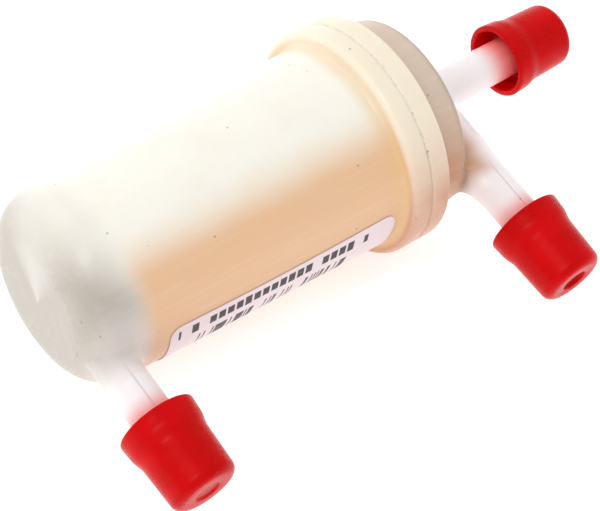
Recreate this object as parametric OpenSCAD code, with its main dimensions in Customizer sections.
// Three-port in-line fuel filter: welded nylon case, pleated element, three soft dust caps.
// The case axis lies along X, from the closed end to the outlet, and the side nipples point to -Y.
// "Station" means the distance along the case axis from the closed end.

/* [Can] */
// Outer radius of the can where its rounded end begins
can_r = 18.6; // [18.2:0.1:19]
// Growth of the radius for each mm of length
can_draft = 0.026; // [0.02:0.002:0.03]
// Outer radius of the rounded end's corner
corner_r = 8; // [6:0.5:10]
// Wall thickness of the can and the cover
wall = 1.8; // [1.6:0.1:2]

/* [Welded flange] */
// Station of the flange's face on the can side
flange_start = 66.6; // [66:0.2:68]
// Thickness of the whole flange
flange_w = 8.5; // [8:0.1:9]
// Outer radius of the flange
flange_r = 22.9; // [22.5:0.1:24]
// Radius of the flange's outer edges
flange_edge = 1.1; // [0.6:0.1:1.4]
// Depth of the groove along the weld line
weld_groove = 0.25; // [0.1:0.05:0.4]

/* [Cover] */
// Outer radius of the cover
cover_r = 19.25; // [19:0.05:20]
// Height of the cover's side above the flange
cover_h = 7.4; // [7:0.1:8]
// Radius of the cover's outer edge
cover_edge = 1; // [0.5:0.1:1.2]
// Height of the low boss round the outlet
boss_h = 2; // [1:0.5:3]

/* [Nipples] */
// Outer radius of every nipple
nipple_r = 4; // [3.9:0.05:4.1]
// Radius of every fuel passage
bore_r = 2.5; // [2.2:0.1:2.7]
// Station of the inlet nipple's axis
inlet_at = 4.6; // [4.4:0.1:5.4]
// Station of the return nipple's axis
return_at = 88; // [88:0.5:89]
// Distance from the case axis to the mouth of the inlet's cap
inlet_mouth = 29.4; // [29:0.2:34]
// Distance from the case axis to the mouth of the return's cap
return_mouth = 31.4; // [31:0.2:34]
// Station of the mouth of the outlet's cap
outlet_mouth = 107.4; // [106:0.2:112]
// Depth of the retaining grooves at each nipple's end
barb_depth = 0.3; // [0.2:0.05:0.4]

/* [Dust caps] */
// Length of a cap
cap_len = 15.2; // [15:0.2:17]
// Outer radius of a cap's loose skirt
skirt_r = 7.55; // [7.2:0.05:7.8]
// Outer radius of a cap's grip, where it leaves the skirt
grip_r = 6.75; // [6.5:0.05:6.9]
// Outer radius of a cap at its closed end
cap_end_r = 6.5; // [6.2:0.05:6.6]

/* [Filter element] */
// Station of the closed disc's outer face
element_start = 8.4; // [8:0.2:9]
// Number of pleats
pleats = 40; // [30:2:46]
// Outer radius of the pleats
pleat_out = 15; // [14.6:0.1:15.2]
// Inner radius of the pleats
pleat_in = 8.4; // [8:0.1:8.6]
// Thickness of the paper
paper_t = 0.5; // [0.4:0.05:0.6]
// Inner radius of the core tube
core_in = 6.3; // [6:0.1:6.5]

/* [Label] */
// Station of the label's end nearest the closed end
label_start = 14.6; // [13:0.2:16]
// Length of the label
label_len = 49.8; // [46:0.2:50]
// Angle of the label's upper edge above the side nipples' plane
label_top = 16; // [10:1:20]
// Angle that the label spans round the can
label_span = 62; // [50:1:70]
// Thickness of the label
label_t = 0.15; // [0.1:0.01:0.2]

/* [Hidden] */
$fn = 96;

flange_mid = flange_start + flange_w / 2;
flange_end = flange_start + flange_w;
cover_top = flange_end + cover_h;
spigot_r = can_outer(flange_start) - wall + 0.3;
weld_gap = 0.05;

tip_insert = 11.6;
outlet_tip = outlet_mouth + tip_insert;
first_station = min(0, inlet_at - skirt_r);
total_len = outlet_mouth + cap_len - first_station;
side_reach = max(inlet_mouth, return_mouth) + cap_len;

// The origin is under the middle of the whole part's box, on the plane that it rests on.
closed_x = -total_len / 2 - first_station;
axis_y = (side_reach - flange_r) / 2;
axis_z = flange_r;

cap_bore = nipple_r + 0.06;
skirt_in = skirt_r - 1.3;
skirt_len = 3.2;
neck_end = 6;
cap_corner = 2;
recess_r = 2.6;
recess_depth = 1;

disc_t = 1.2;
potting_t = 1.6;
disc_r = pleat_out + 0.9;
disc_rim = 0.6;
core_out = core_in + 0.9;
paper_start = element_start + disc_t + potting_t;
paper_end = flange_start - 3.4;
disc_top = paper_end + potting_t + disc_t;
collar_in = 5.5;
collar_out = 6.8;
collar_end = disc_top + 6;
tail_r = collar_in - 0.12;
seal_at = disc_top + 2.2;
seal_w = 1.8;
seal_floor = 4.3;

jet_len = 4;
jet_hole = 0.6;
jet_from = 17;
drop_at = 12.6;
drop_r = 2;

label_corner = 2.4;
label_gap = 0.05;

// Outer radius of the can at a station.
function can_outer(s) = can_r + can_draft * (s - corner_r);

// Points of an arc in [radius, station] coordinates.
function arc(c, r, from, to, n = 10) =
    [for (i = [0:n]) let (t = from + (to - from) * i / n) c + r * [cos(t), sin(t)]];

// Lays a shape made along Z on the case axis, with its X down and its Y level.
module on_case_axis() {
    translate([closed_x, axis_y, axis_z]) rotate([0, 90, 0]) children();
}

// Turns a shape made along Z so that it points to the side, from a station on the axis.
module to_side(station) {
    translate([0, 0, station]) rotate([90, 0, 0]) children();
}

module ring(r_out, r_in, from, to) {
    translate([0, 0, from]) difference() {
        cylinder(r = r_out, h = to - from);
        translate([0, 0, -1]) cylinder(r = r_in, h = to - from + 2);
    }
}

// Round can with one closed, rounded end: outside when inset is 0, inside when it is the wall.
module can_solid(inset, end) {
    r_corner = corner_r - inset;
    r_start = can_outer(corner_r) - inset;
    rotate_extrude() polygon(concat(
        [[0, inset]],
        arc([r_start - r_corner, corner_r], r_corner, -90, 0),
        [[can_outer(end) - inset, end], [0, end]]));
}

// Half of the flange: a disc with one rounded edge and one edge chamfered for the weld groove.
module flange_half(thick) {
    rotate_extrude() polygon(concat(
        [[0, 0]],
        arc([flange_r - flange_edge, flange_edge], flange_edge, -90, 0),
        [[flange_r, thick - weld_groove], [flange_r - weld_groove, thick], [0, thick]]));
}

// Nipple along Z: a drafted root, a straight seat for the hose, then a drafted end with two
// retaining grooves.
module nipple(from, seat, mouth) {
    seat_end = mouth - 0.1;
    tip = mouth + tip_insert;
    end_r = nipple_r - 0.04;
    translate([0, 0, from]) cylinder(r1 = nipple_r + 0.3, r2 = nipple_r + 0.05, h = seat - from);
    translate([0, 0, seat - 0.5]) cylinder(r = nipple_r, h = seat_end - seat + 0.5);
    difference() {
        translate([0, 0, seat_end]) cylinder(r1 = end_r, r2 = end_r - 0.1, h = tip - seat_end);
        for (s = [mouth + 4, mouth + 7])
            ring(nipple_r + 1, nipple_r - barb_depth, s, s + 1);
        translate([0, 0, tip - 0.8]) difference() {
            cylinder(r = nipple_r + 1, h = 1);
            cylinder(r1 = nipple_r, r2 = nipple_r - 0.8, h = 0.81);
        }
    }
}

// Hollow-sided flare where a nipple grows out of the case.
module root_flare(from, height, spread) {
    translate([0, 0, from]) rotate_extrude() polygon(concat(
        [[0, 0]],
        [for (i = [0:8]) let (t = 90 * i / 8)
            [nipple_r + spread * (1 - sin(t)), height * (1 - cos(t))]],
        [[0, height]]));
}

module passage(from, to) {
    translate([0, 0, from]) cylinder(r = bore_r, h = to - from);
}

module housing() {
    color("antiquewhite") on_case_axis() {
        difference() {
            union() {
                can_solid(0, flange_start + 1);
                translate([0, 0, flange_start]) flange_half(flange_w / 2);
                to_side(inlet_at) nipple(can_r - 6, can_r + 0.8, inlet_mouth);
                to_side(inlet_at) root_flare(can_r - 1.6, 2.4, 0.6);
            }
            can_solid(wall, flange_start + 0.2);
            translate([0, 0, flange_start]) cylinder(r = spigot_r, h = flange_w);
            to_side(inlet_at) passage(can_r - 8, inlet_mouth + tip_insert + 1);
        }
        locating_ribs();
    }
}

// Four ribs in the closed end, which hold the element clear of the end and centre it.
module locating_ribs() {
    rib_t = 1.2;
    rib_in = 9;
    for (a = [45:90:315])
        rotate([0, 0, a]) intersection() {
            translate([rib_in, -rib_t / 2, wall - 0.3]) cube([can_r, rib_t, element_start - wall + 0.25]);
            can_solid(wall - 0.2, element_start);
        }
}

module cover() {
    color("linen") on_case_axis() difference() {
        union() {
            translate([0, 0, flange_end]) mirror([0, 0, 1]) flange_half(flange_w / 2);
            ring(spigot_r - weld_gap, spigot_r - wall, flange_start + 0.3, flange_mid + 1);
            cover_shell_outside();
            nipple(cover_top - 1, return_at + nipple_r + 0.2, outlet_mouth);
            translate([0, 0, cover_top - 0.2]) cylinder(r1 = 8, r2 = 6, h = boss_h + 0.2);
            to_side(return_at) nipple(0, cover_r + 3.4, return_mouth);
            return_root();
        }
        translate([0, 0, flange_mid - 1]) cylinder(r = cover_r - wall, h = cover_top - wall - flange_mid + 1);
        passage(cover_top - wall - 1, outlet_tip + 1);
        to_side(return_at) passage(drop_at - drop_r - 0.6, return_mouth + tip_insert + 1);
        translate([0, -drop_at, cover_top - wall - 1]) cylinder(r = drop_r, h = return_at - cover_top + wall + 1);
    }
    color("linen") on_case_axis() outlet_tail();
}

module cover_shell_outside() {
    translate([0, 0, flange_end - 1]) rotate_extrude() polygon(concat(
        [[0, 0], [cover_r, 0]],
        arc([cover_r - cover_edge, cover_h + 1 - cover_edge], cover_edge, 0, 90),
        [[0, cover_h + 1]]));
}

// The return nipple lies across the cover's top: a web joins it to the cover, and a flare to its side.
module return_root() {
    web_w = 2 * nipple_r - 1;
    translate([-web_w / 2, -cover_r + cover_edge, cover_top - 0.5])
        cube([web_w, cover_r - cover_edge, return_at - cover_top]);
    drop = 2.6;
    to_side(return_at - drop) translate([0, 0, cover_r - 5])
        cylinder(r1 = nipple_r + 1.4, r2 = nipple_r - drop - 0.4, h = 9);
}

// Tube inside the cover that plugs into the element's collar and carries the seal ring.
module outlet_tail() {
    difference() {
        ring(tail_r, bore_r, disc_top + 0.4, cover_top - wall + 0.1);
        ring(tail_r + 1, seal_floor, seal_at, seal_at + seal_w);
    }
}

// The pleated sheet, closed round the core: out to the crests and back, one paper thickness wide.
module filter_paper() {
    step = 180 / pleats;
    outer = [for (i = [0:2 * pleats - 1])
        (i % 2 == 0 ? pleat_out : pleat_in + paper_t) * [cos(i * step), sin(i * step)]];
    inner = [for (i = [2 * pleats - 1:-1:0])
        (i % 2 == 0 ? pleat_out - 1.6 * paper_t : pleat_in) * [cos(i * step), sin(i * step)]];
    color("sandybrown") on_case_axis() translate([0, 0, paper_start])
        linear_extrude(paper_end - paper_start) difference() {
            polygon(outer);
            polygon(inner);
        }
}

// Strip glued along the outside of the crest where the two ends of the paper meet.
module seam_strip() {
    color("peru") on_case_axis() rotate([0, 0, 90])
        translate([pleat_out + 0.02, -1, paper_start]) cube([0.4, 2, paper_end - paper_start]);
}

module centre_tube() {
    hole_r = 1.3;
    rows = 9;
    first = paper_start + 4;
    pitch = (paper_end - paper_start - 8) / (rows - 1);
    color("whitesmoke") on_case_axis() difference() {
        ring(core_out, core_in, paper_start, paper_end);
        for (i = [0:rows - 1])
            for (a = [0:60:120])
                translate([0, 0, first + i * pitch]) rotate([0, 0, a + 30 * (i % 2)]) rotate([90, 0, 0])
                    cylinder(r = hole_r, h = 2 * core_out + 2, center = true, $fn = 24);
    }
}

// Shallow closed dish at the closed end, with a rim round the potting.
module lower_end_disc() {
    color("white") on_case_axis() {
        translate([0, 0, element_start]) cylinder(r = disc_r, h = disc_t);
        ring(disc_r, disc_r - disc_rim, element_start + disc_t - 0.1, paper_start);
    }
}

// The same dish at the cover end, with a hole and a collar for the cover's tail.
module upper_end_disc() {
    color("white") on_case_axis() difference() {
        union() {
            translate([0, 0, disc_top - disc_t]) cylinder(r = disc_r, h = disc_t);
            ring(disc_r, disc_r - disc_rim, paper_end, disc_top - disc_t + 0.1);
            translate([0, 0, disc_top]) cylinder(r = collar_out, h = collar_end - disc_top);
        }
        translate([0, 0, disc_top - disc_t - 1]) cylinder(r = collar_in, h = collar_end);
    }
}

module potting(from) {
    on_case_axis() ring(disc_r - disc_rim - 0.02, core_in, from, from + potting_t);
}

module lower_potting() {
    color("goldenrod") potting(element_start + disc_t);
}

module upper_potting() {
    color("goldenrod") potting(paper_end);
}

// Seal ring, squeezed to fill the groove between the tail and the collar.
module outlet_seal() {
    round_r = 0.5;
    color("dimgray") on_case_axis() rotate_extrude() translate([seal_floor, seal_at]) polygon(concat(
        arc([collar_in - seal_floor - round_r, round_r], round_r, -90, 0, 6),
        arc([collar_in - seal_floor - round_r, seal_w - round_r], round_r, 0, 90, 6),
        arc([round_r, seal_w - round_r], round_r, 90, 180, 6),
        arc([round_r, round_r], round_r, 180, 270, 6)));
}

// Brass restrictor pressed into the return passage.
module return_jet() {
    color("gold") on_case_axis() to_side(return_at) difference() {
        ring(bore_r, jet_hole, jet_from, jet_from + jet_len);
        translate([0, 0, jet_from + jet_len - 0.8]) cylinder(r1 = jet_hole, r2 = 1.4, h = 0.81);
    }
}

// Label wrapped on the can's taper: a skin of the can, cut by a rounded rectangle seen from the side.
module label() {
    half_w = can_outer(label_start) * sin(label_span / 2);
    color("mistyrose") on_case_axis() intersection() {
        difference() {
            can_skin(label_start - 1, label_start + label_len + 1, label_gap + label_t);
            can_skin(label_start - 2, label_start + label_len + 2, label_gap);
        }
        rotate([0, 0, label_span / 2 - label_top]) translate([0, 0, label_start]) rotate([90, 0, 0])
            linear_extrude(2 * flange_r) rounded_rectangle(half_w, label_len, label_corner);
    }
}

module rounded_rectangle(half_w, len, r) {
    polygon(concat(
        arc([half_w - r, r], r, -90, 0, 6),
        arc([half_w - r, len - r], r, 0, 90, 6),
        arc([r - half_w, len - r], r, 90, 180, 6),
        arc([r - half_w, r], r, 180, 270, 6)));
}

// Solid of the can's taper between two stations, grown by a skin.
module can_skin(from, to, skin) {
    translate([0, 0, from]) cylinder(r1 = can_outer(from) + skin, r2 = can_outer(to) + skin, h = to - from);
}

// Soft cap along Z, from its open mouth to its closed end.
module dust_cap() {
    neck = [for (i = [0:8]) let (t = i / 8, s = (1 - cos(180 * t)) / 2)
        [skirt_r + (grip_r - skirt_r) * s, skirt_len + (neck_end - skirt_len) * t]];
    color("crimson") difference() {
        rotate_extrude() polygon(concat(
            [[0, 0], [skirt_r - 0.3, 0], [skirt_r, 0.4]],
            neck,
            arc([cap_end_r - cap_corner, cap_len - cap_corner], cap_corner, 0, 90, 8),
            [[0, cap_len]]));
        translate([0, 0, -0.01]) cylinder(r = skirt_in, h = neck_end - 1.5);
        translate([0, 0, neck_end - 1.52]) cylinder(r1 = skirt_in, r2 = cap_bore, h = 1.5);
        translate([0, 0, neck_end - 0.1]) cylinder(r = cap_bore, h = tip_insert + 0.7 - neck_end);
        translate([0, 0, cap_len - recess_depth]) cylinder(r1 = recess_r - 0.3, r2 = recess_r, h = recess_depth + 1);
    }
}

module inlet_cap() {
    on_case_axis() to_side(inlet_at) translate([0, 0, inlet_mouth]) dust_cap();
}

module outlet_cap() {
    on_case_axis() translate([0, 0, outlet_mouth]) dust_cap();
}

module return_cap() {
    on_case_axis() to_side(return_at) translate([0, 0, return_mouth]) dust_cap();
}

housing();
cover();
filter_paper();
seam_strip();
centre_tube();
lower_end_disc();
upper_end_disc();
lower_potting();
upper_potting();
outlet_seal();
return_jet();
label();
inlet_cap();
outlet_cap();
return_cap();
